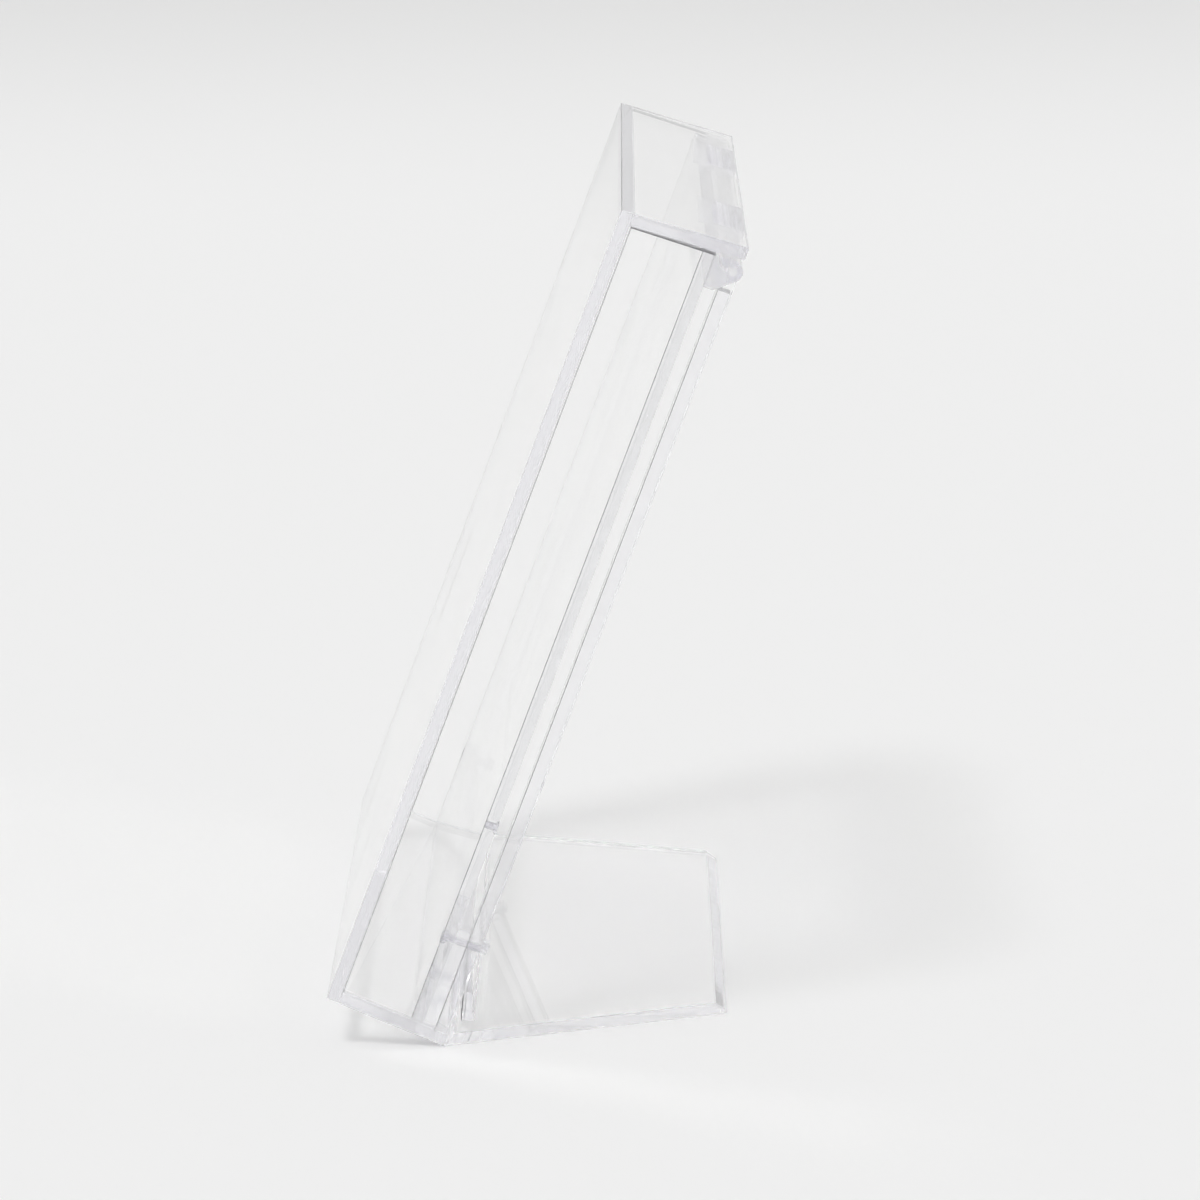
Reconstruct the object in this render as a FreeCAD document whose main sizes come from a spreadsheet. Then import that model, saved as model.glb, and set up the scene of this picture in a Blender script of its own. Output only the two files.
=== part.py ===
import FreeCAD, Part
import os
import Sketcher
from FreeCAD import Placement, Rotation, Vector

# A clear acrylic magazine rack: a deep thin box that leans back on a flat foot, with an
# L-shaped cover (the whole front and the top in one) hinged along the rear top edge.
# X runs across the rack, -Y is its front, +Z is up, and Z = 0 is the surface it stands on.

doc = FreeCAD.newDocument("magazine_rack")
sheet = doc.addObject("Spreadsheet::Sheet", "sizes")

# Driving dimensions in millimetres, and angles in degrees.
drivingSizes = [
    ("lean", 20.9),             # how far the box leans back from upright
    ("rackWidth", 238.0),       # outside, side to side
    ("rackDepth", 48.0),        # outside, front to rear, square to the lean
    ("rackHeight", 322.0),      # outside, along the front, cover included
    ("baseTilt", 3.4),          # the bottom falls towards the rear
    ("lidTilt", 3.4),           # the cover's top rises towards the rear
    ("wallTilt", 2.0),          # the side panels' top edges rise a little less
    ("sheetThick", 4.8),        # acrylic sheet that every panel is cut from
    ("edgeEase", 0.3),          # polished chamfer on free cut edges
    ("coverGap", 0.6),          # cover to side panels at the top of the front
    ("seatGap", 0.15),          # cover to side panels at the bottom of the front
    ("lidGap", 0.2),            # cover to side panels at the front of the top
    ("dryGap", 0.05),           # pieces that touch without cement
    ("rearRecess", 10.3),       # depth of the recess behind the back panel
    ("railDeep", 5.1),          # rear rail, front to rear
    ("railWide", 8.0),          # rear rail, side to side
    ("barDrop", 16.0),          # lower edge of the hinge bar below the top of the front
    ("pinDrop", 7.3),           # hinge axis below the top of the front
    ("pinInset", 2.5),          # hinge axis in front of the rear plane
    ("noseRadius", 3.7),        # rounded rear of the hinge bar
    ("noseTurn", 50.0),         # where the nose meets the sloped underside of the bar
    ("pinRadius", 1.6),
    ("pinFit", 0.02),           # radial fit of the pin in the bar
    ("pinRun", 0.08),           # radial clearance of the pin in the cover's knuckles
    ("knuckleRadius", 3.5),
    ("notchRadius", 4.6),       # room for a knuckle to turn in the bar
    ("leafLong", 47.0),         # cover leaf, side to side
    ("leafDeep", 17.8),         # cover leaf, front to rear
    ("leafThick", 1.3),
    ("leafCentre", 62.0),       # middle of a leaf from the middle of the rack
    ("leafRoom", 0.4),          # side clearance of a leaf in its notch
    ("footLong", 107.9),
    ("footRearWidth", 176.0),
    ("footBevel", 4.2),         # run of the bevels on the front and rear ends of the foot
    ("footNose", 1.6),          # upright part of the foot's rear end
    ("webFront", 6.2),          # front face of the stand's upright behind the rear bottom edge
    ("webHigh", 36.5),          # top of the upright above the surface
    ("webWide", 210.0),
    ("tongueHigh", 42.0),       # top of the stand's tongue, along the lean
    ("slotPlay", 0.1),          # tongue to back panel
    ("screwHigh", 37.0),        # stand screws above the bottom, along the lean
    ("screwRadius", 1.5),
    ("screwHole", 1.65),
    ("headRadius", 2.75),
    ("headHigh", 1.6),
    ("headSink", 1.9),
    ("headHole", 3.0),
    ("nutFlats", 5.5),
    ("nutHigh", 2.4),
    ("washerRadius", 3.5),
    ("washerThick", 0.5),
    ("screwTip", 0.6),          # thread showing beyond the nut
]

# Places that follow from the driving dimensions, in the box's own upright frame:
# Y from the front face towards the rear, Z up from the bottom face.
workedSizes = [
    ("halfWidth", "=rackWidth / 2"),
    ("frontInner", "=sheetThick"),
    ("rearDrop", "=rackDepth * tan(baseTilt)"),
    ("lidInner", "=rackHeight - sheetThick / cos(lidTilt)"),
    ("wallTop", "=lidInner + frontInner * tan(lidTilt) - lidGap"),
    ("backRear", "=rackDepth - rearRecess"),
    ("backFront", "=rackDepth - rearRecess - sheetThick"),
    ("leafInner", "=lidInner - leafThick"),
    ("backTop", "=leafInner + backFront * tan(lidTilt) - leafRoom"),
    ("barUnder", "=rackHeight - barDrop"),
    ("pinHigh", "=rackHeight - pinDrop"),
    ("pinBack", "=rackDepth - pinInset"),
    ("barSide", "=pinBack + noseRadius * cos(noseTurn)"),
    ("barSlope", "=pinHigh - noseRadius * sin(noseTurn)"),
    ("barCorner", "=barSide - (barSlope - barUnder) * tan(noseTurn)"),
    ("railFront", "=rackDepth - railDeep"),
    ("screwOut", "=rackWidth / 2 - sheetThick - railWide / 2"),
]

for row, (alias, value) in enumerate(drivingSizes + workedSizes, start=1):
    sheet.set("A%d" % row, alias)
    sheet.set("B%d" % row, str(value))
    sheet.setAlias("B%d" % row, alias)
doc.recompute()


def size(alias):
    return float(sheet.get(alias))


def bound(expression):
    """Write every size name in an expression as a cell of the sheet."""
    words = expression.split()
    names = {alias for alias, _ in drivingSizes + workedSizes}
    return " ".join("sizes." + word if word in names else word for word in words)


def originPlane(body, role):
    return next(item for item in body.Origin.OriginFeatures if item.Role == role)


def newBody(label):
    body = doc.addObject("PartDesign::Body", label)
    body.Label = label
    return body


def newSketch(body, name, role="YZ_Plane", offset=None):
    sketch = body.newObject("Sketcher::SketchObject", name)
    sketch.AttachmentSupport = [(originPlane(body, role), "")]
    sketch.MapMode = "FlatFace"
    if offset is not None:
        sketch.setExpression("AttachmentOffset.Base.z", bound(offset))
    return sketch


def addOutline(sketch, corners):
    """A closed outline whose corners are pairs of expressions on the sheet."""
    count = len(corners)
    starts = []
    for across, up in corners:
        starts.append(Vector(worked(across), worked(up), 0))
    for index in range(count):
        line = Part.LineSegment(starts[index], starts[(index + 1) % count])
        sketch.addGeometry(line, False)
    for index in range(count):
        sketch.addConstraint(Sketcher.Constraint("Coincident", index, 2, (index + 1) % count, 1))
    for index, (across, up) in enumerate(corners):
        for kind, expression, value in (
            ("DistanceX", across, starts[index].x),
            ("DistanceY", up, starts[index].y),
        ):
            number = sketch.addConstraint(Sketcher.Constraint(kind, -1, 1, index, 1, value))
            sketch.setExpression("Constraints[%d]" % number, bound(expression))


def addCircle(sketch, across, up, radius):
    centre = Vector(worked(across), worked(up), 0)
    index = sketch.addGeometry(Part.Circle(centre, Vector(0, 0, 1), worked(radius)), False)
    for kind, expression, value in (("DistanceX", across, centre.x), ("DistanceY", up, centre.y)):
        number = sketch.addConstraint(Sketcher.Constraint(kind, -1, 1, index, 3, value))
        sketch.setExpression("Constraints[%d]" % number, bound(expression))
    number = sketch.addConstraint(Sketcher.Constraint("Radius", index, worked(radius)))
    sketch.setExpression("Constraints[%d]" % number, bound(radius))


def worked(expression):
    """The number that an expression on the sheet gives."""
    answer = sheet.evalExpression(bound(expression).replace("sizes.", ""))
    return float(getattr(answer, "Value", answer))


def addPad(body, sketch, name, length):
    pad = body.newObject("PartDesign::Pad", name)
    pad.Profile = sketch
    pad.Midplane = True
    pad.setExpression("Length", bound(length))
    doc.recompute()
    return pad


def addPocket(body, sketch, name, length):
    """Cut a sketch out on both sides of its plane, and make sure that it cut something."""
    before = body.Shape.Volume
    pocket = body.newObject("PartDesign::Pocket", name)
    pocket.Profile = sketch
    pocket.Midplane = True
    pocket.setExpression("Length", bound(length))
    doc.recompute()
    if body.Shape.Volume > before - 0.1:
        raise RuntimeError(body.Label + ": " + name + " cuts nothing")
    return pocket


def easeEdges(body, sharp=()):
    """Chamfer a panel's straight cut edges, except those between corners that stay sharp."""
    base = body.Tip
    kept = [Vector(0, worked(across), worked(up)) for across, up in sharp]
    edges = []
    for index, edge in enumerate(base.Shape.Edges, start=1):
        if edge.Curve.TypeId != "Part::GeomLine" or edge.Length < 1:
            continue
        ends = [Vector(0, vertex.Y, vertex.Z) for vertex in edge.Vertexes]
        if not all(any(end.distanceToPoint(corner) < 0.01 for corner in kept) for end in ends):
            edges.append("Edge%d" % index)
    chamfer = body.newObject("PartDesign::Chamfer", body.Label + "_eased")
    chamfer.Base = (base, edges)
    chamfer.setExpression("Size", "sizes.edgeEase")
    doc.recompute()


def leaning(offset=0.0):
    """Place a piece of the box: lean it back about the rear bottom edge, which is on Z = 0."""
    turn = Rotation(Vector(1, 0, 0), -size("lean"))
    corner = turn.multVec(Vector(0, size("rackDepth"), -size("rearDrop")))
    return Placement(Vector(offset, rearEdge() - corner.y, -corner.z), turn)


def standing():
    """Place a piece of the stand, whose own Y starts at the box's rear bottom edge."""
    return Placement(Vector(0, rearEdge(), 0), Rotation())


def rearEdge():
    """World Y of the rear bottom edge, with the origin midway from front to rear."""
    turn = Rotation(Vector(1, 0, 0), -size("lean"))
    corner = turn.multVec(Vector(0, size("rackDepth"), -size("rearDrop"))).y
    ahead = turn.multVec(Vector(0, 0, size("dryGap"))).y
    behind = turn.multVec(Vector(0, size("rackDepth"), worked(lidTop("rackDepth")))).y
    return corner - (ahead + behind) / 2


def profilePiece(label, corners, length, placement=None, ease=True, sharp=()):
    """A piece cut to an outline in the YZ plane and as long as given along X."""
    body = newBody(label)
    sketch = newSketch(body, label + "_outline")
    addOutline(sketch, corners)
    addPad(body, sketch, label + "_pad", length)
    if ease:
        easeEdges(body, sharp)
    body.Placement = leaning() if placement is None else placement
    return body


def lidTop(depth):
    """Height of the cover's top face at a depth behind the front."""
    return "rackHeight + ( %s ) * tan( lidTilt )" % depth


def lidUnder(depth):
    return "lidInner + ( %s ) * tan( lidTilt )" % depth


def wallHigh(depth):
    return "wallTop + ( %s - frontInner ) * tan( wallTilt )" % depth


def baseUnder(depth):
    return "0 - ( %s ) * tan( baseTilt )" % depth


def baseOver(depth):
    return "sheetThick / cos( baseTilt ) - ( %s ) * tan( baseTilt )" % depth


def standingOnBase(front, rear, high):
    """An upright piece between two depths whose lower end follows the sloped base."""
    return [(front, baseOver(front)), (rear, baseOver(rear)), (rear, high), (front, high)]


# The cemented box

seat = "frontInner + seatGap"
baseTopCorners = [("rackDepth", baseOver("rackDepth")), (seat, baseOver(seat))]
baseOutline = [(seat, baseUnder(seat)), ("rackDepth", baseUnder("rackDepth"))] + baseTopCorners
profilePiece("base_panel", baseOutline, "rackWidth", sharp=baseTopCorners)

sideRearCorners = [
    (seat, baseOver(seat)),
    ("rackDepth", baseOver("rackDepth")),
    ("rackDepth", "barUnder - dryGap + ( rackDepth - barCorner ) / tan( noseTurn )"),
    ("barCorner", "barUnder - dryGap"),
    ("backRear - dryGap", "barUnder - dryGap"),
]
sideTopCorners = [
    ("backRear - dryGap", wallHigh("backRear - dryGap")),
    ("frontInner + coverGap", wallHigh("frontInner + coverGap")),
]
for label, side in (("left_side_panel", -1), ("right_side_panel", 1)):
    place = leaning(side * (size("halfWidth") - size("sheetThick") / 2))
    profilePiece(label, sideRearCorners + sideTopCorners, "sheetThick", place, sharp=sideRearCorners)

railOutline = standingOnBase("railFront", "rackDepth", "barUnder")
for label, side in (("left_rear_rail", -1), ("right_rear_rail", 1)):
    rail = profilePiece(label, railOutline, "railWide", leaning(side * size("screwOut")), ease=False)
    holeSketch = newSketch(rail, label + "_hole_outline", "XZ_Plane", "0 - rackDepth + railDeep / 2")
    addCircle(holeSketch, "0", "screwHigh", "screwHole")
    addPocket(rail, holeSketch, label + "_hole", "railDeep * 3")


def boreForScrews(body, depthMiddle, radius, length, name):
    """Bore the two stand screws' holes square through a panel."""
    for side, word in ((-1, "left"), (1, "right")):
        sketch = newSketch(body, "%s_%s_%s" % (body.Label, name, word), "XZ_Plane", "0 - " + depthMiddle)
        addCircle(sketch, "%d * screwOut" % side, "screwHigh", radius)
        addPocket(body, sketch, "%s_%s_%s_cut" % (body.Label, name, word), length)


back = profilePiece(
    "back_panel",
    standingOnBase("backFront", "backRear", "backTop"),
    "rackWidth - 2 * sheetThick",
    ease=False,
)
boreForScrews(back, "backRear", "screwHole", "sheetThick * 3", "hole")
boreForScrews(back, "backFront", "headHole", "headSink * 2", "sink")

# The hinge: a solid bar along the top of the back panel, notched for the cover's two knuckles

bar = profilePiece(
    "hinge_bar",
    [
        ("backRear", "barUnder"),
        ("barCorner", "barUnder"),
        ("barSide", "barSlope"),
        ("pinBack", "pinHigh"),
        ("pinBack", "pinHigh + noseRadius"),
        ("pinBack - pinInset", wallHigh("pinBack - pinInset")),
        ("backRear", wallHigh("backRear")),
    ],
    "rackWidth",
    ease=False,
)
noseSketch = newSketch(bar, "hinge_bar_nose_outline")
addCircle(noseSketch, "pinBack", "pinHigh", "noseRadius")
addPad(bar, noseSketch, "hinge_bar_nose", "rackWidth")
for side, word in ((-1, "left"), (1, "right")):
    shift = "%d * leafCentre" % side
    notch = newSketch(bar, "hinge_bar_notch_outline_" + word, offset=shift)
    addOutline(
        notch,
        [
            ("pinBack - notchRadius", "pinHigh"),
            ("rackDepth * 1.1", "pinHigh"),
            ("rackDepth * 1.1", lidTop("rackDepth")),
            ("backFront", lidTop("rackDepth")),
            ("backFront", "backTop"),
            ("pinBack - notchRadius", "backTop"),
        ],
    )
    addPocket(bar, notch, "hinge_bar_notch_" + word, "leafLong + 2 * leafRoom")
    turning = newSketch(bar, "hinge_bar_turning_outline_" + word, offset=shift)
    addCircle(turning, "pinBack", "pinHigh", "notchRadius")
    addPocket(bar, turning, "hinge_bar_turning_" + word, "leafLong + 2 * leafRoom")
boreSketch = newSketch(bar, "hinge_bar_bore_outline")
addCircle(boreSketch, "pinBack", "pinHigh", "pinRadius + pinFit")
addPocket(bar, boreSketch, "hinge_bar_bore", "rackWidth + 2")

pin = doc.addObject("Part::Cylinder", "hinge_pin")
pin.setExpression("Radius", "sizes.pinRadius")
pin.setExpression("Height", "sizes.rackWidth")
pinStart = leaning().multiply(Placement(Vector(0, size("pinBack"), size("pinHigh")), Rotation()))
alongX = Placement(Vector(-size("halfWidth"), 0, 0), Rotation(Vector(0, 1, 0), 90))
pin.Placement = pinStart.multiply(alongX)

# The cover: front panel, top panel behind its upper edge, and two leaves with knuckles

coverJoint = [("frontInner", lidUnder("frontInner")), ("frontInner", lidTop("frontInner"))]
frontOutline = [("0", "dryGap"), ("frontInner", "dryGap"), coverJoint[1], ("0", "rackHeight")]
profilePiece("cover_front_panel", frontOutline, "rackWidth", sharp=coverJoint)
lidRear = [("rackDepth", lidUnder("rackDepth")), ("rackDepth", lidTop("rackDepth"))]
profilePiece("cover_top_panel", [coverJoint[0]] + lidRear + [coverJoint[1]], "rackWidth", sharp=coverJoint)

leafOutline = [
    ("rackDepth - leafDeep", lidUnder("rackDepth - leafDeep") + " - leafThick"),
    ("pinBack - knuckleRadius + 0.6", lidUnder("pinBack - knuckleRadius + 0.6") + " - leafThick"),
    ("pinBack - knuckleRadius + 0.6", "pinHigh"),
    ("rackDepth - 0.2", "pinHigh"),
    ("rackDepth - 0.2", lidUnder("rackDepth - 0.2")),
    ("rackDepth - leafDeep", lidUnder("rackDepth - leafDeep")),
]
for label, side in (("left_cover_leaf", -1), ("right_cover_leaf", 1)):
    leaf = profilePiece(label, leafOutline, "leafLong", leaning(side * size("leafCentre")), ease=False)
    knuckle = newSketch(leaf, label + "_knuckle_outline")
    addCircle(knuckle, "pinBack", "pinHigh", "knuckleRadius")
    addPad(leaf, knuckle, label + "_knuckle", "leafLong")
    running = newSketch(leaf, label + "_bore_outline")
    addCircle(running, "pinBack", "pinHigh", "pinRadius + pinRun")
    addPocket(leaf, running, label + "_bore", "leafLong + 2")

# The stand: a tongue in the slot behind the back panel, an upright plate and the foot

tongueFront = "backRear + slotPlay"
tongueRear = "backRear + slotPlay + sheetThick"
tongue = profilePiece(
    "stand_tongue",
    [
        (tongueFront, baseOver(tongueFront) + " + dryGap"),
        (tongueRear, baseOver(tongueRear) + " + dryGap"),
        (tongueRear, "tongueHigh"),
        (tongueFront, "tongueHigh"),
    ],
    "rackWidth - 2 * sheetThick - 0.4",
    ease=False,
)
boreForScrews(tongue, "backRear", "screwHole", "sheetThick * 4", "hole")

# Rear face of the tongue, as a line in the stand's frame: Y = tongueStart + Z * tan(lean)
tongueStart = "( slotPlay + sheetThick - rearRecess ) / cos( lean )"
profilePiece(
    "stand_web",
    [
        ("webFront", "sheetThick"),
        ("webFront + sheetThick", "sheetThick"),
        ("webFront + sheetThick", "webHigh"),
        (tongueStart + " + webHigh * tan( lean )", "webHigh"),
        ("webFront", "( webFront - " + tongueStart + " ) / tan( lean )"),
    ],
    "webWide",
    standing(),
    sharp=[
        ("webFront", "sheetThick"),
        ("webFront + sheetThick", "sheetThick"),
        ("webFront", "( webFront - " + tongueStart + " ) / tan( lean )"),
        (tongueStart + " + webHigh * tan( lean )", "webHigh"),
    ],
)

foot = newBody("stand_foot")
plan = newSketch(foot, "stand_foot_plan", "XY_Plane")
addOutline(
    plan,
    [
        ("0 - halfWidth", "slotPlay * 2"),
        ("halfWidth", "slotPlay * 2"),
        ("footRearWidth / 2", "footLong"),
        ("0 - footRearWidth / 2", "footLong"),
    ],
)
footPad = foot.newObject("PartDesign::Pad", "stand_foot_pad")
footPad.Profile = plan
footPad.setExpression("Length", "sizes.sheetThick")
doc.recompute()
bevel = newSketch(foot, "stand_foot_bevel_outline")
addOutline(
    bevel,
    [
        ("0 - slotPlay", "0 - slotPlay"),
        ("slotPlay * 2", "0 - slotPlay"),
        ("slotPlay * 2 + footBevel", "sheetThick + slotPlay"),
        ("0 - slotPlay", "sheetThick + slotPlay"),
    ],
)
addPocket(foot, bevel, "stand_foot_bevel", "rackWidth + 2")
rearBevel = newSketch(foot, "stand_foot_rear_bevel_outline")
addOutline(
    rearBevel,
    [
        ("footLong - footBevel", "sheetThick"),
        ("footLong + 1", "footNose - ( sheetThick - footNose ) / footBevel"),
        ("footLong + 1", "sheetThick + 1"),
        ("footLong - footBevel", "sheetThick + 1"),
    ],
)
addPocket(foot, rearBevel, "stand_foot_rear_bevel", "rackWidth + 2")
easeEdges(foot)
foot.Placement = standing()

# Two screws, washers and nuts that clamp the tongue between the back panel and the rails


def acrossThePanels(side, depth):
    """A place on a stand screw's axis, with the piece's own Z pointing to the rear."""
    along = Placement(Vector(side * size("screwOut"), depth, size("screwHigh")), Rotation(Vector(1, 0, 0), -90))
    return leaning().multiply(along)


def cylinder(name, radius, height, placement):
    item = doc.addObject("Part::Cylinder", name)
    item.setExpression("Radius", bound(radius))
    item.setExpression("Height", bound(height))
    item.Placement = placement
    return item


def ringCut(name, outer, radius, height, placement):
    bore = cylinder(name + "_bore", radius, height, placement)
    ring = doc.addObject("Part::Cut", name)
    ring.Base = outer
    ring.Tool = bore
    return ring


def oneScrew(side, word):
    headPlace = size("backFront") + size("headSink") - size("headHigh")
    head = cylinder("screw_head_" + word, "headRadius", "headHigh", acrossThePanels(side, headPlace))
    shankLong = "sheetThick - headSink + rearRecess + washerThick + nutHigh + screwTip"
    shankPlace = size("backFront") + size("headSink")
    shank = cylinder("screw_shank_" + word, "screwRadius", shankLong, acrossThePanels(side, shankPlace))
    joined = doc.addObject("Part::Fuse", "screw_" + word)
    joined.Base = head
    joined.Tool = shank
    return joined


def oneWasher(side, word):
    place = acrossThePanels(side, size("rackDepth"))
    disc = cylinder("washer_disc_" + word, "washerRadius", "washerThick", place)
    return ringCut("washer_" + word, disc, "screwHole", "washerThick", place)


def oneNut(side, word):
    place = acrossThePanels(side, size("rackDepth") + size("washerThick"))
    hexagon = doc.addObject("Part::Prism", "nut_hexagon_" + word)
    hexagon.Polygon = 6
    hexagon.setExpression("Circumradius", bound("nutFlats / 2 / cos( 30 )"))
    hexagon.setExpression("Height", "sizes.nutHigh")
    hexagon.Placement = place
    return ringCut("nut_" + word, hexagon, "screwRadius + pinFit", "nutHigh", place)


for label, makeOne in (
    ("stand_screws", oneScrew),
    ("stand_washers", oneWasher),
    ("stand_nuts", oneNut),
):
    pair = doc.addObject("Part::Compound", label)
    pair.Links = [makeOne(-1, "left"), makeOne(1, "right")]

# Check every object, then write each piece to its own file

pieces = [
    "base_panel", "left_side_panel", "right_side_panel", "left_rear_rail", "right_rear_rail",
    "back_panel", "hinge_bar", "hinge_pin", "cover_front_panel", "cover_top_panel",
    "left_cover_leaf", "right_cover_leaf", "stand_tongue", "stand_web", "stand_foot",
    "stand_screws", "stand_washers", "stand_nuts",
]

doc.recompute()
for item in doc.Objects:
    if "Invalid" in item.State or "Error" in item.State:
        raise RuntimeError(item.Label + " failed")

os.makedirs("parts", exist_ok=True)
for label in pieces:
    piece = doc.getObjectsByLabel(label)[0]
    shape = piece.Shape
    if shape.isNull() or not shape.isValid():
        raise RuntimeError(label + " has no valid shape")
    shape.exportStep("parts/%s.step" % label)
    print("%-20s %2d solid(s) %10.1f mm3" % (label, len(shape.Solids), shape.Volume))
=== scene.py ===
import bpy
from math import cos, pi, radians, sin, tan
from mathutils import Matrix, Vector


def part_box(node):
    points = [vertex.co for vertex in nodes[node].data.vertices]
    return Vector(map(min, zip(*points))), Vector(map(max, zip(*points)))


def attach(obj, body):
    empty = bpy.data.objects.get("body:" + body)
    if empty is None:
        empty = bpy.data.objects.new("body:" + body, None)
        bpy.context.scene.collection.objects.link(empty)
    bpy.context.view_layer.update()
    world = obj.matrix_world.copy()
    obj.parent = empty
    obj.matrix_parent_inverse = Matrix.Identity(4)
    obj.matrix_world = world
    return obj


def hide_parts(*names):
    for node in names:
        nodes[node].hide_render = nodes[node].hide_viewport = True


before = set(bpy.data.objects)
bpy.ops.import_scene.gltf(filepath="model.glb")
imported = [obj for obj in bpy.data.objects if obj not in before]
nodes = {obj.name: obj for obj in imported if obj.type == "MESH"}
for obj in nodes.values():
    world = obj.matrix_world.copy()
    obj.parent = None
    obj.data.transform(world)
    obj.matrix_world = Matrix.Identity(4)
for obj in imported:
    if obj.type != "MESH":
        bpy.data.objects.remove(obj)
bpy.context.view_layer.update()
print("frame loaded:", len(nodes), "pieces")

# the rack's own measures in metres and radians, in the frame that leans back with it
rack = {
    "lean": radians(20.9),
    "baseTilt": radians(3.4),
    "lidTilt": radians(3.4),
    "depth": 0.048,
    "height": 0.322,
    "sheet": 0.0048,
    "backFront": 0.0329,
    "backRear": 0.0377,
    "backTop": 0.31745,
    "railFront": 0.0429,
    "railWide": 0.008,
    "barUnder": 0.306,
    "leafAt": 0.062,
    "leafLong": 0.047,
    "leafFront": 0.0302,
    "leafRear": 0.0478,
    "tongueRear": 0.0426,
    "footGap": 0.0002,
    "webFront": 0.0062,
    "webWide": 0.21,
    "webJoint": (0.0286, 0.0342),
}
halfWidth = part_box("base_panel")[1].x
innerSide = halfWidth - rack["sheet"]
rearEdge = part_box("stand_foot")[0].y - rack["footGap"]  # where the box meets the floor
rearDrop = rack["depth"] * tan(rack["baseTilt"])
baseTop = rack["sheet"] / cos(rack["baseTilt"])
lidInner = rack["height"] - rack["sheet"] / cos(rack["lidTilt"])


def plug(tree, value, target):
    if isinstance(value, Wire):
        tree.links.new(value.socket, target)
    elif value is not None:
        target.default_value = value


class Wire:
    def __init__(self, tree, socket=None):
        self.tree = tree
        self.socket = socket

    def node(self, kind, settings=None, sockets=None, out=0):
        made = self.tree.nodes.new(kind)
        for key, value in (settings or {}).items():
            setattr(made, key, value)
        for key, value in (sockets or {}).items():
            plug(self.tree, value, made.inputs[key])
        return Wire(self.tree, made.outputs[out])

    def math(self, operation, *others):
        values = {index: value for index, value in enumerate((self,) + others)}
        return self.node("ShaderNodeMath", {"operation": operation}, values)

    def flipped(self, operation, other):
        return self.node("ShaderNodeMath", {"operation": operation}, {0: other, 1: self})

    def __add__(self, other):
        return self.math("ADD", other)

    __radd__ = __add__

    def __mul__(self, other):
        return self.math("MULTIPLY", other)

    __rmul__ = __mul__

    def __sub__(self, other):
        return self.math("SUBTRACT", other)

    def __rsub__(self, other):
        return self.flipped("SUBTRACT", other)

    def within(self, middle, reach):
        return self.math("COMPARE", middle, reach)

    def atLeast(self, other):
        return self.math("MAXIMUM", other)

    def below(self, other):
        return self.math("LESS_THAN", other)

    def above(self, other):
        return self.math("GREATER_THAN", other)

    def size(self):
        return self.math("ABSOLUTE")

    def smooth(self, low, high):
        return self.node(
            "ShaderNodeMapRange", {"interpolation_type": "SMOOTHSTEP"}, {0: self, 1: low, 2: high}
        )

    def axis(self, letter):
        return self.node("ShaderNodeSeparateXYZ", None, {0: self}, letter)

    # one colour where the mask is 0, another where it is 1
    def colours(self, first, second):
        return self.node("ShaderNodeMix", {"data_type": "RGBA"}, {0: self, 6: first, 7: second}, 2)


def newMaterial(name):
    material = bpy.data.materials.new(name)
    material.use_nodes = True
    material.node_tree.nodes.clear()
    return material, Wire(material.node_tree)


def finishMaterial(material, surface):
    output = material.node_tree.nodes.new("ShaderNodeOutputMaterial")
    plug(material.node_tree, surface, output.inputs["Surface"])


def inRack(start):
    # the box's own frame: Y from the front face, Z up the front
    lean = rack["lean"]
    place = start.node("ShaderNodeTexCoord", None, None, "Object")
    return start.node(
        "ShaderNodeMapping",
        {"vector_type": "POINT"},
        {
            "Vector": place,
            "Location": (0, rack["depth"] - rearEdge * cos(lean), -rearEdge * sin(lean) - rearDrop),
            "Rotation": (lean, 0, 0),
        },
    )


jointReach = 0.00008  # how near to a joint's plane a face counts as cemented
sheet, depth = rack["sheet"], rack["depth"]
# cemented faces as boxes: what the height is measured from, then across from the middle,
# depth and height, each from low to high; hazy ones show their cement
boxJoints = [
    ("base", (innerSide, halfWidth), (sheet, depth), (0, 0)),
    ("base", (0, innerSide), (rack["backFront"], rack["backRear"]), (0, 0)),
    ("base", (innerSide - rack["railWide"], innerSide), (rack["railFront"], depth), (0, 0)),
    ("rack", (innerSide, innerSide), (rack["backFront"], rack["backRear"]), (0, rack["backTop"])),
    ("rack", (innerSide, innerSide), (rack["railFront"], depth), (0, rack["barUnder"])),
    ("rack", (0, innerSide), (rack["backRear"], rack["backRear"]), (rack["barUnder"], rack["backTop"])),
]
coverJoints = [
    ("rack", (0, halfWidth), (sheet, sheet), (lidInner, rack["height"] + 0.001)),
    (
        "lid",
        (rack["leafAt"] - rack["leafLong"] / 2, rack["leafAt"] + rack["leafLong"] / 2),
        (rack["leafFront"], rack["leafRear"]),
        (0, 0),
    ),
]
standJoints = [
    (
        "floor",
        (0, rack["webWide"] / 2),
        (rearEdge + rack["webFront"], rearEdge + rack["webFront"] + sheet),
        (sheet, sheet),
    ),
    ("rack", (0, rack["webWide"] / 2), (rack["tongueRear"], rack["tongueRear"]), rack["webJoint"]),
]
hazyJoints = [boxJoints[3], coverJoints[0]]


def jointMask(start, joints):
    place = inRack(start)
    across, back, up = place.axis("X").size(), place.axis("Y"), place.axis("Z")
    world = start.node("ShaderNodeTexCoord", None, None, "Object")
    heights = {
        "rack": (back, up),
        "base": (back, up + back * tan(rack["baseTilt"]) - baseTop),
        "lid": (back, up - back * tan(rack["lidTilt"]) - lidInner),
        "floor": (world.axis("Y"), world.axis("Z")),
    }
    mask = None
    for measured, *spans in joints:
        inside = None
        for value, (low, high) in zip((across,) + heights[measured], spans):
            part = value.within((low + high) / 2, max((high - low) / 2, 0) + jointReach)
            inside = part if inside is None else inside * part
        mask = inside if mask is None else mask.atLeast(inside)
    return mask


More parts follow.
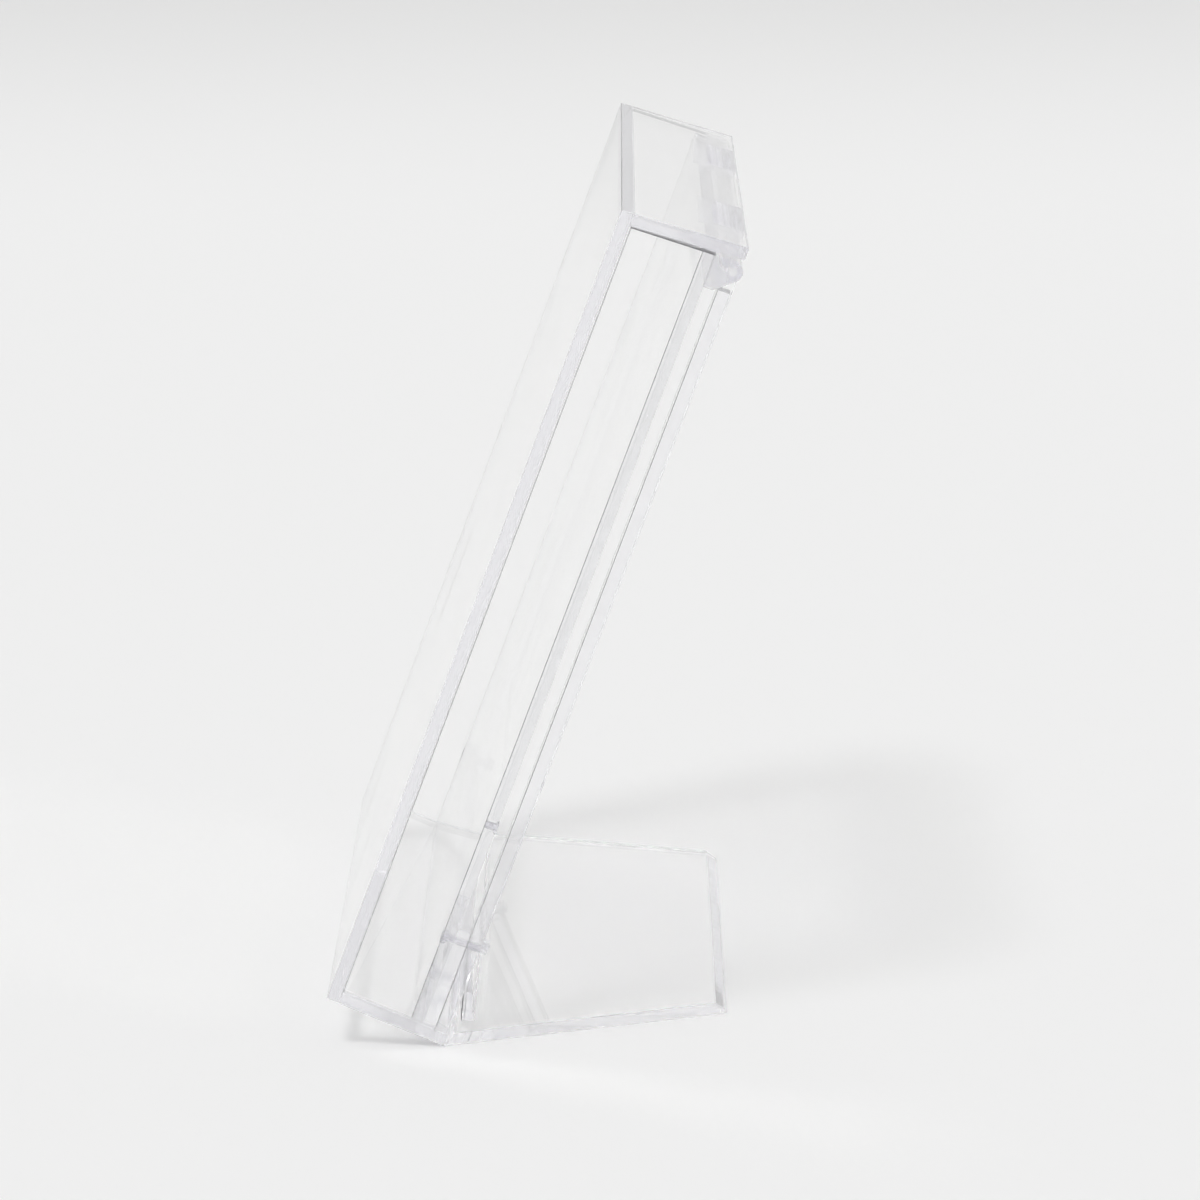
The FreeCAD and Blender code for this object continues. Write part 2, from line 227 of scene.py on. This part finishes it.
# the way each sheet faces: across, through the front and back, or up
acrossWay = (1, 0, 0)
throughWay = (0, cos(rack["lean"]), -sin(rack["lean"]))
upWay = (0, sin(rack["lean"]), cos(rack["lean"]))

acrylic = {
    "refraction": 1.49,
    "jointTint": (0.5, 0.5, 0.56, 1),
    "jointRough": 0.45,
    "jointCover": 0.1,
    "faceTint": (1.0, 1.0, 1.0, 1),
    "edgeTint": (0.925, 0.922, 0.95, 1),
    # painted shade: near-black on the side panels' top edges and grey on their front edges, standing in
    # for the shaded gap under the cover
    "paintedGapShadeTop": (0.03, 0.03, 0.035, 1),
    "paintedGapShadeFront": (0.3, 0.3, 0.31, 1),
    "clearEdge": (0.965, 0.963, 0.98, 1),
    "edgeRough": 0.02,
    "edgeTurn": 0.9,        # faces turned further than this from the sheet's own are cut edges
    # where the painted gap shade reaches on the side panels' front and top edges
    "paintedGapShadeFrontDepth": 0.0055,
    "paintedGapShadeFrontSlope": 0.0014,
    "paintedGapShadeTopHeight": 0.3167,
    "paintedGapShadeTopSlope": 0.0349,
}

wear = {
    "waveScale": 14.0,
    "waveDistance": 0.00005,
    "scratchScale": (900.0, 22.0, 22.0),
    "scratchTurn": (0.3, 0.5, 0.9),
    "scratchSpan": (0.70, 0.76),
    "scratchRough": 0.05,
    "smudgeScale": 16.0,
    "smudgeSpan": (0.45, 0.75),
    "smudgeRough": 0.012,
    "grainScale": (260.0, 2600.0, 2600.0),
    "grainDistance": 0.000012,
}


# roughness to add and a normal: waves and hair scratches on faces, fine grain on cut edges
def surfaceWear(start, edge):
    place = start.node("ShaderNodeTexCoord", None, None, "Object")
    smudge = start.node(
        "ShaderNodeTexNoise", None, {"Vector": place, "Scale": wear["smudgeScale"], "Detail": 4}
    ).smooth(*wear["smudgeSpan"])
    swung = start.node(
        "ShaderNodeMapping",
        {"vector_type": "TEXTURE"},
        {"Vector": place, "Rotation": wear["scratchTurn"]},
    )
    stretched = start.node(
        "ShaderNodeVectorMath", {"operation": "MULTIPLY"}, {0: swung, 1: wear["scratchScale"]}
    )
    scratch = start.node(
        "ShaderNodeTexNoise", None, {"Vector": stretched, "Scale": 1, "Detail": 2}
    ).smooth(*wear["scratchSpan"])
    waves = start.node(
        "ShaderNodeTexNoise", None, {"Vector": place, "Scale": wear["waveScale"], "Detail": 1}
    )
    grainPlace = start.node(
        "ShaderNodeVectorMath", {"operation": "MULTIPLY"}, {0: place, 1: wear["grainScale"]}
    )
    grain = start.node("ShaderNodeTexNoise", None, {"Vector": grainPlace, "Scale": 1, "Detail": 2})
    height = (1 - edge) * waves * wear["waveDistance"] + edge * grain * wear["grainDistance"]
    normal = start.node("ShaderNodeBump", None, {"Height": height, "Distance": 1, "Strength": 1})
    rough = (1 - edge) * (smudge * wear["smudgeRough"] + scratch * wear["scratchRough"])
    return rough, normal


def clearAcrylic(name, faces, joints=None, paintedGapShade=False, edgeTint=acrylic["edgeTint"]):
    material, start = newMaterial(name)
    direction = start.node("ShaderNodeTexCoord", None, None, "Normal")
    along = start.node(
        "ShaderNodeVectorMath", {"operation": "DOT_PRODUCT"}, {0: direction, 1: faces}, "Value"
    )
    edge = along.size().below(acrylic["edgeTurn"])
    tint = edge.colours(acrylic["faceTint"], edgeTint)
    if paintedGapShade:  # painted shade: the side panels' front and top edges under the cover are coloured dark, standing in for the shaded air gap beneath the cover
        place = inRack(start)
        back, up = place.axis("Y"), place.axis("Z")
        frontGapShade = back.below(up * acrylic["paintedGapShadeFrontSlope"] + acrylic["paintedGapShadeFrontDepth"])
        topGapShade = (up - back * acrylic["paintedGapShadeTopSlope"]).above(acrylic["paintedGapShadeTopHeight"])
        tint = (frontGapShade * edge).colours(tint, acrylic["paintedGapShadeFront"])
        tint = (topGapShade * edge).colours(tint, acrylic["paintedGapShadeTop"])
    worn, normal = surfaceWear(start, edge)
    rough = edge * acrylic["edgeRough"] + worn
    alpha = 1
    if joints is not None:
        cement = jointMask(start, joints)
        tint = cement.colours(tint, acrylic["jointTint"])
        rough = rough + cement * acrylic["jointRough"]
        hazy = [spans for spans in joints if spans in hazyJoints]
        alpha = 1 - cement
        if hazy:
            alpha = alpha + jointMask(start, hazy) * acrylic["jointCover"]
    surface = start.node(
        "ShaderNodeBsdfPrincipled",
        None,
        {
            "Base Color": tint,
            "Roughness": rough,
            "IOR": acrylic["refraction"],
            "Transmission Weight": 1,
            "Alpha": alpha,
            "Normal": normal,
        },
    )
    finishMaterial(material, surface)
    return material


moulded = {
    "tint": (0.93, 0.93, 0.945, 1),
    "rough": 0.04,
    "mottle": 0.08,
    "mottleScale": 900.0,
    "bump": 0.00001,
}


def mouldedPlastic(name):
    material, start = newMaterial(name)
    place = start.node("ShaderNodeTexCoord", None, None, "Object")
    mottle = start.node(
        "ShaderNodeTexNoise", None, {"Vector": place, "Scale": moulded["mottleScale"], "Detail": 3}
    )
    finishMaterial(
        material,
        start.node(
            "ShaderNodeBsdfPrincipled",
            None,
            {
                "Base Color": moulded["tint"],
                "Roughness": mottle * moulded["mottle"] + moulded["rough"],
                "IOR": acrylic["refraction"],
                "Transmission Weight": 1,
                "Normal": start.node(
                    "ShaderNodeBump", None, {"Height": mottle * moulded["bump"], "Distance": 1}
                ),
            },
        ),
    )
    return material


clearPlastic = mouldedPlastic("clearFastenerPlastic")

sidePanel = clearAcrylic("sidePanelAcrylic", acrossWay, boxJoints, True)
wallPanel = clearAcrylic("wallPanelAcrylic", throughWay, boxJoints)
basePanel = clearAcrylic("basePanelAcrylic", upWay, boxJoints)
coverFront = clearAcrylic("coverFrontAcrylic", throughWay, coverJoints)
coverTop = clearAcrylic("coverTopAcrylic", upWay, coverJoints)
clearEdge = acrylic["clearEdge"]
tonguePanel = clearAcrylic("tongueAcrylic", throughWay, standJoints, edgeTint=clearEdge)
webPanel = clearAcrylic("webAcrylic", (0, 1, 0), standJoints, edgeTint=clearEdge)
footPanel = clearAcrylic("footAcrylic", (0, 0, 1), standJoints, edgeTint=clearEdge)
hingeStock = clearAcrylic("hingeAcrylic", throughWay, boxJoints + coverJoints, edgeTint=clearEdge)

# what each piece is made of
dress = {
    "base_panel": basePanel, "left_side_panel": sidePanel, "right_side_panel": sidePanel,
    "back_panel": wallPanel, "left_rear_rail": wallPanel, "right_rear_rail": wallPanel,
    "hinge_bar": hingeStock, "hinge_pin": hingeStock,
    "stand_tongue": tonguePanel, "stand_web": webPanel, "stand_foot": footPanel,
    "stand_screws": clearPlastic, "stand_washers": clearPlastic, "stand_nuts": clearPlastic,
    "cover_front_panel": coverFront, "cover_top_panel": coverTop,
    "left_cover_leaf": hingeStock, "right_cover_leaf": hingeStock,
}
for name, material in dress.items():
    mesh = nodes[name].data
    mesh.materials.clear()
    mesh.materials.append(material)
print("materials assigned")

# screws, washers and nuts, in metres from the screw head's top, along the screw
fastener = {
    "out": 0.1102,
    "high": 0.037,
    "headTop": 0.0332,
    "headRadius": 0.00275,
    "headHigh": 0.00155,
    "socketRadius": 0.0014,
    "socketDeep": 0.0009,
    "shankRadius": 0.00147,
    "threadRoot": 0.0012,
    "threadPitch": 0.0005,
    "threadRun": 0.0002,        # from crest to root
    "plainEnd": 0.0006,         # unthreaded at both ends of the shank
    "tip": 0.0182,
    "washer": (0.0017, 0.00345, 0.01483, 0.01527),
    "nut": (0.00152, 0.0031, 0.01535, 0.01765),
    "washerSoft": 0.00008,
    "nutSoft": 0.0003,
    "around": 40,
    "mergeWithin": 0.000002,
    "smoothUnder": radians(30),
}


# an outline of (radius, height) points spun about Z
def turned(name, outline, closed=False):
    bpy.ops.object.select_all(action="DESELECT")
    bpy.ops.mesh.primitive_plane_add(size=0.001)
    piece = bpy.context.object
    piece.name = name
    bpy.ops.object.mode_set(mode="EDIT")
    bpy.ops.mesh.select_all(action="SELECT")
    bpy.ops.mesh.merge(type="CENTER")
    bpy.ops.transform.translate(value=(outline[0][0], 0, outline[0][1]))
    path = list(outline) + ([outline[0]] if closed else [])
    for (radius, height), (nextRadius, nextHeight) in zip(path, path[1:]):
        step = (nextRadius - radius, 0, nextHeight - height)
        bpy.ops.mesh.extrude_region_move(TRANSFORM_OT_translate={"value": step})
    bpy.ops.mesh.select_all(action="SELECT")
    bpy.ops.mesh.spin(steps=fastener["around"], angle=2 * pi, center=(0, 0, 0), axis=(0, 0, 1))
    bpy.ops.mesh.select_all(action="SELECT")
    bpy.ops.mesh.remove_doubles(threshold=fastener["mergeWithin"])
    bpy.ops.mesh.normals_make_consistent(inside=False)
    bpy.ops.object.mode_set(mode="OBJECT")
    return piece


def combined(piece, other, operation):
    change = piece.modifiers.new("combined", "BOOLEAN")
    change.operation = operation
    change.object = other
    bpy.context.view_layer.objects.active = piece
    bpy.ops.object.modifier_apply(modifier=change.name)
    bpy.data.objects.remove(other)


def sixSided(radius, low, high):
    bpy.ops.object.select_all(action="DESELECT")
    bpy.ops.mesh.primitive_cylinder_add(
        vertices=6, radius=radius, depth=high - low, location=(0, 0, (low + high) / 2)
    )
    return bpy.context.object


def makeScrew():
    head, wide = fastener["headHigh"], fastener["headRadius"]
    outline = [(0, 0), (wide * 0.8, 0), (wide * 0.93, 0.00012), (wide, 0.0004), (wide, head)]
    outline += [(fastener["shankRadius"], head)]
    place = head + fastener["plainEnd"]
    while place < fastener["tip"] - fastener["plainEnd"]:
        outline += [(fastener["shankRadius"], place)]
        outline += [(fastener["threadRoot"], place + fastener["threadRun"])]
        place += fastener["threadPitch"]
    outline += [(fastener["threadRoot"], fastener["tip"]), (0, fastener["tip"])]
    screw = turned("standScrew", outline)
    combined(screw, sixSided(fastener["socketRadius"], -0.0005, fastener["socketDeep"]), "DIFFERENCE")
    return screw


def makeWasher():
    inner, outer, low, high = fastener["washer"]
    soft = fastener["washerSoft"]
    outline = [(inner, low), (outer - soft, low), (outer, low + soft), (outer, high - soft)]
    return turned("standWasher", outline + [(outer - soft, high), (inner, high)], True)


def makeNut():
    inner, outer, low, high = fastener["nut"]
    soft = fastener["nutSoft"]
    outline = [(inner, low), (outer - soft, low), (outer, low + soft), (outer, high - soft)]
    nut = turned("standNut", outline + [(outer - soft, high), (inner, high)], True)
    combined(nut, sixSided(outer, low - 0.001, high + 0.001), "INTERSECT")
    return nut


# turn the piece to lie along the screw hole, and leave one copy at each side
def fitFastener(piece, node):
    lean = rack["lean"]
    startBack, startUp = fastener["headTop"] - depth, fastener["high"] + rearDrop
    back = rearEdge + startBack * cos(lean) + startUp * sin(lean)
    up = startUp * cos(lean) - startBack * sin(lean)
    other = piece.copy()
    other.data = piece.data.copy()
    bpy.context.scene.collection.objects.link(other)
    for side, made in ((-1, piece), (1, other)):
        made.name = node + ("_left" if side < 0 else "_right")
        bpy.ops.object.select_all(action="DESELECT")
        made.select_set(True)
        bpy.context.view_layer.objects.active = made
        made.rotation_euler = (-pi / 2 - lean, 0, 0)
        made.location = (side * fastener["out"], back, up)
        bpy.ops.object.transform_apply(location=True, rotation=True, scale=True)
        bpy.ops.object.shade_smooth_by_angle(angle=fastener["smoothUnder"])
        made.data.materials.clear()
        made.data.materials.append(clearPlastic)
        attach(made, "box")
        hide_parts(node)


fitFastener(makeScrew(), "stand_screws")
fitFastener(makeWasher(), "stand_washers")
fitFastener(makeNut(), "stand_nuts")
print("fasteners fitted")

# painted shade: the floor's colour darkens from near to far behind the rack, standing in for the
# backdrop getting less light further off
floorLook = {
    "near": (0.86, 0.86, 0.858, 1),
    "far": (0.73, 0.73, 0.727, 1),
    "fallStart": -1.5,
    "fallEnd": -3.2,
    "rough": 0.7,
    "gloss": 0.2,
    "across": 30,
    "below": 0.0001,
}
floorMaterial, start = newMaterial("paleFloor")
along = start.node("ShaderNodeTexCoord", None, None, "Object").axis("X")
paintedFalloff = (floorLook["fallStart"] - along).smooth(0, floorLook["fallStart"] - floorLook["fallEnd"])
floorColour = paintedFalloff.colours(floorLook["near"], floorLook["far"])
finishMaterial(
    floorMaterial,
    start.node(
        "ShaderNodeBsdfPrincipled",
        None,
        {
            "Base Color": floorColour,
            "Roughness": floorLook["rough"],
            "Specular IOR Level": floorLook["gloss"],
        },
    ),
)
bpy.ops.object.select_all(action="DESELECT")
bpy.ops.mesh.primitive_plane_add(size=floorLook["across"], location=(0, 0, -floorLook["below"]))
floor = bpy.context.object
floor.name = "floor"
floor.data.materials.append(floorMaterial)

scene = bpy.context.scene
scene.view_settings.view_transform = "Standard"
# light runs a long way inside a sheet before it leaves by an edge
scene.cycles.max_bounces = 96
scene.cycles.transmission_bounces = 96
scene.cycles.glossy_bounces = 96
scene.cycles.transparent_max_bounces = 48
scene.cycles.diffuse_bounces = 4
scene.cycles.sample_clamp_indirect = 0
scene.cycles.blur_glossy = 0

light = {
    "surround": 0.80,
    "softbox": 17.0,
    "toward": (0.34, -0.30, 1.0),
    "inner": radians(5),
    "outer": radians(8),
}
world = bpy.data.worlds.new("studio")
scene.world = world
world.use_nodes = True
world.node_tree.nodes.clear()
sky = Wire(world.node_tree)
toward = Vector(light["toward"]).normalized()
facing = sky.node(
    "ShaderNodeVectorMath",
    {"operation": "DOT_PRODUCT"},
    {0: sky.node("ShaderNodeTexCoord", None, None, "Generated"), 1: toward},
    "Value",
)
strength = light["surround"] + light["softbox"] * facing.smooth(cos(light["outer"]), cos(light["inner"]))
background = sky.node("ShaderNodeBackground", None, {"Color": (1, 1, 1, 1), "Strength": strength})
worldOutput = world.node_tree.nodes.new("ShaderNodeOutputWorld")
plug(world.node_tree, background, worldOutput.inputs["Surface"])

view = {
    "place": (1.641182, 0.036803, 0.607697),
    "yaw": radians(-0.445),
    "pitch": radians(15.858),
    "roll": radians(-0.744),
    "lens": 129,
}
cameraData = bpy.data.cameras.new("camera")
cameraData.lens = view["lens"]
cameraData.clip_end = 60
camera = bpy.data.objects.new("camera", cameraData)
scene.collection.objects.link(camera)
camera.location = view["place"]
ahead = Vector((
    -cos(view["pitch"]) * cos(view["yaw"]),
    cos(view["pitch"]) * sin(view["yaw"]),
    -sin(view["pitch"]),
))
camera.rotation_euler = ahead.to_track_quat("-Z", "Y").to_euler()
camera.rotation_euler.rotate_axis("Z", view["roll"])
scene.camera = camera
print("studio set")
